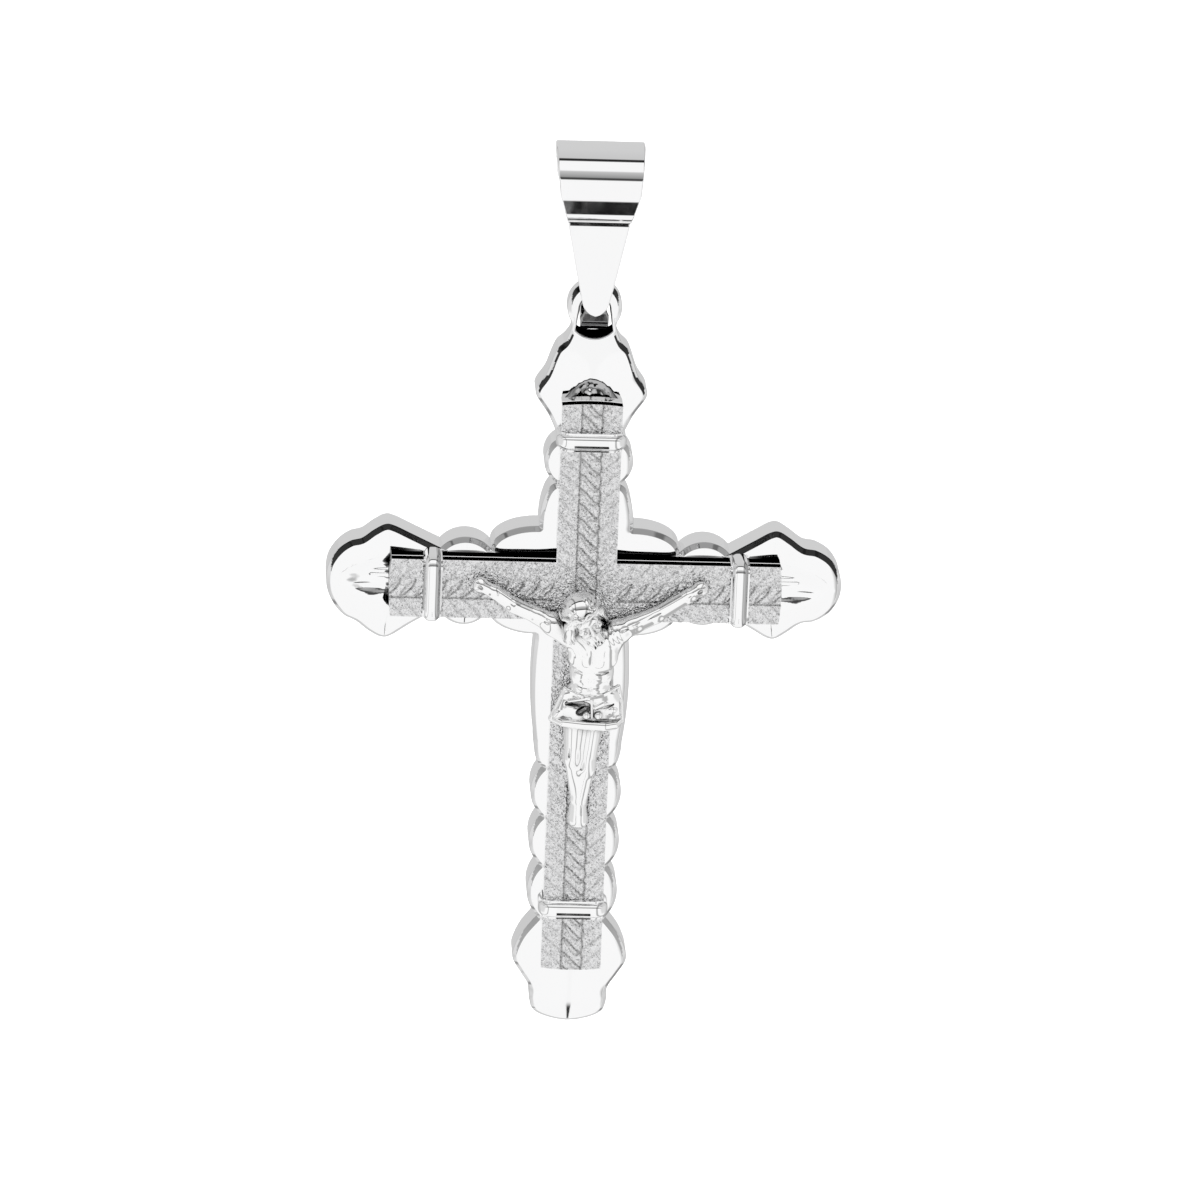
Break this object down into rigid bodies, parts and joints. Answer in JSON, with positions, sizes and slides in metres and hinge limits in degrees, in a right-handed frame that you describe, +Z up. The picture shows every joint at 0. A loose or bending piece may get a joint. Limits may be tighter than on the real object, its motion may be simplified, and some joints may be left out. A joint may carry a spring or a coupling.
{
  "type": "crucifix pendant",
  "caption": "Polished steel crucifix pendant: scalloped cross with an eye, sparkling cross plate held by bands, cast figure, and a tapered strip bail that takes a neck chain.",
  "frame": {"origin": "middle of the bail's round top, where the neck chain runs through", "axes": "+Z up, from the cross to the bail; -Y is the front, with the figure; +X along the chain and the arms, to the viewer's right"},
  "size_m": [0.0452, 0.0113, 0.0811],
  "materials": {
    "polished": "mirror-polished stainless steel",
    "grain": "stainless steel with a coarse sparkling grain and an engraved braid"
  },
  "bodies": {
    "bail": {"bail": "polished"},
    "cross": {"cross_body": "polished", "under_plate": "polished", "grain_plate": "grain", "strap_top": "polished", "strap_left": "polished", "strap_right": "polished", "strap_foot": "polished", "rivet_top": "polished", "rivet_left": "polished", "rivet_right": "polished", "rivet_foot": "polished", "hand_peg_left": "polished", "hand_peg_right": "polished", "feet_peg": "polished", "corpus": "polished"}
  },
  "joints": [
    {"name": "cross_swing", "type": "hinge", "parent": "bail", "child": "cross", "pos_m": [0, 0, -0.0091], "axis": [1, 0, 0], "range_deg": [-35, 35]}
  ]
}
